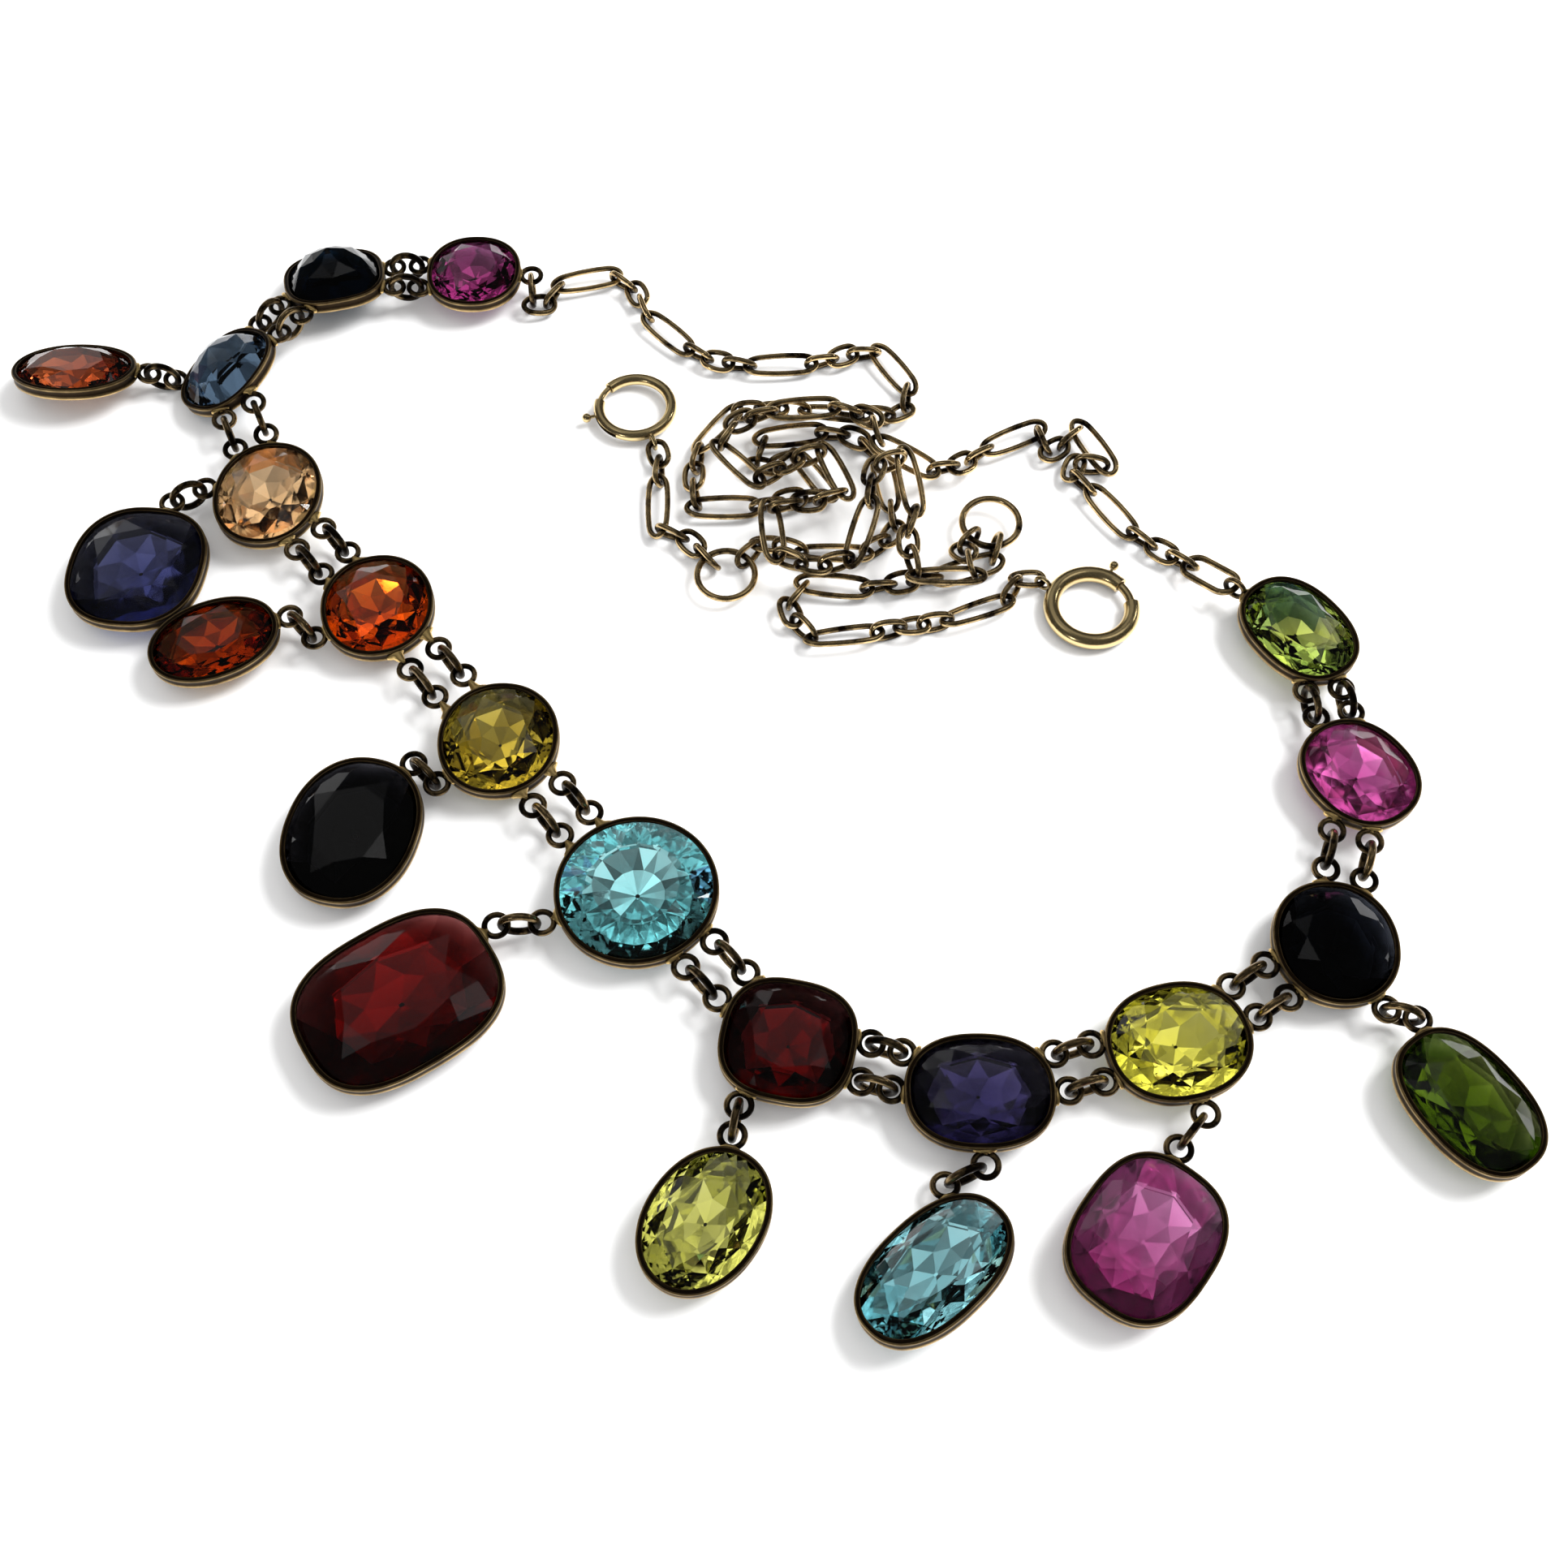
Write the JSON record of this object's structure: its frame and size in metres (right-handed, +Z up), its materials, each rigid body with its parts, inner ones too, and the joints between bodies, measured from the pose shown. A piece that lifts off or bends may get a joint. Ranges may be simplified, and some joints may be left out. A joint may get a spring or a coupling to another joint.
{
  "type": "fringe necklace",
  "caption": "Harlequin fringe necklace: rimmed faceted glass stones in a row on jump rings, set drops below, a long-and-short link chain at each end with a bolt ring, lying unfastened.",
  "frame": {"origin": "middle of the necklace's outer box, on the surface that it lies on", "axes": "+X to the right of the picture along the longest extent, +Y away from the camera, +Z up"},
  "size_m": [0.1255, 0.1028, 0.0061],
  "materials": {
    "setting_brass": "antique brass, brown in the groove, bright on the worn edges",
    "ring_brass": "dark tarnished brass wire",
    "chain_brass": "antique brass wire, dark in the joints",
    "clasp_brass": "satin antique brass, dark round the gap",
    "glass_magenta": "purple-pink cut glass",
    "glass_midnight": "near-black cut glass, set back up",
    "glass_steel": "grey-blue cut glass, set back up",
    "glass_champagne": "peach-brown cut glass",
    "glass_orange": "brown-orange cut glass",
    "glass_olive": "olive-yellow cut glass",
    "glass_aqua": "pale blue-green cut glass",
    "glass_garnet": "dark red cut glass",
    "glass_violet": "dark violet-blue cut glass",
    "glass_yellow": "greenish yellow cut glass",
    "glass_navy": "blue-black cut glass",
    "glass_pink": "pink cut glass",
    "glass_green": "green to yellow-green cut glass",
    "glass_amber": "orange cut glass",
    "glass_indigo": "dark slate-violet cut glass",
    "glass_cognac": "red-brown cut glass",
    "glass_black": "black cut glass",
    "glass_red": "dark red cut glass",
    "glass_lime": "yellow-green cut glass",
    "glass_sky": "blue-green cut glass",
    "glass_rose": "pink-red cut glass",
    "glass_moss": "moss-green cut glass"
  },
  "bodies": {
    "necklace": {"setting_magenta": "setting_brass", "setting_midnight": "setting_brass", "setting_steel": "setting_brass", "setting_champagne": "setting_brass", "setting_orange": "setting_brass", "setting_olive": "setting_brass", "setting_aqua": "setting_brass", "setting_garnet": "setting_brass", "setting_violet": "setting_brass", "setting_yellow": "setting_brass", "setting_navy": "setting_brass", "setting_pink": "setting_brass", "setting_green": "setting_brass", "setting_amber": "setting_brass", "setting_indigo": "setting_brass", "setting_cognac": "setting_brass", "setting_black": "setting_brass", "setting_red": "setting_brass", "setting_lime": "setting_brass", "setting_sky": "setting_brass", "setting_rose": "setting_brass", "setting_moss": "setting_brass", "stone_magenta": "glass_magenta", "stone_midnight": "glass_midnight", "stone_steel": "glass_steel", "stone_champagne": "glass_champagne", "stone_orange": "glass_orange", "stone_olive": "glass_olive", "stone_aqua": "glass_aqua", "stone_garnet": "glass_garnet", "stone_violet": "glass_violet", "stone_yellow": "glass_yellow", "stone_navy": "glass_navy", "stone_pink": "glass_pink", "stone_green": "glass_green", "stone_amber": "glass_amber", "stone_indigo": "glass_indigo", "stone_cognac": "glass_cognac", "stone_black": "glass_black", "stone_red": "glass_red", "stone_lime": "glass_lime", "stone_sky": "glass_sky", "stone_rose": "glass_rose", "stone_moss": "glass_moss", "row_rings": "ring_brass", "drop_rings": "ring_brass", "end_links": "chain_brass", "chain_left": "chain_brass", "tail_left": "chain_brass", "chain_right": "chain_brass", "tail_right": "chain_brass", "chain_rings": "chain_brass", "bolt_ring_left": "clasp_brass", "bolt_ring_right": "clasp_brass"},
    "left_bolt": {"bolt_left": "clasp_brass"},
    "right_bolt": {"bolt_right": "clasp_brass"}
  },
  "joints": [
    {"name": "left_bolt_slide", "type": "hinge", "parent": "necklace", "child": "left_bolt", "pos_m": [-0.006, 0.0322, 0.00095], "axis": [0, 0, 1], "range_deg": [0, 44], "stiffness_Nm_per_rad": 0.002},
    {"name": "right_bolt_slide", "type": "hinge", "parent": "necklace", "child": "right_bolt", "pos_m": [0.0339, 0.0103, 0.00095], "axis": [0, 0, 1], "range_deg": [0, 44], "stiffness_Nm_per_rad": 0.002}
  ]
}
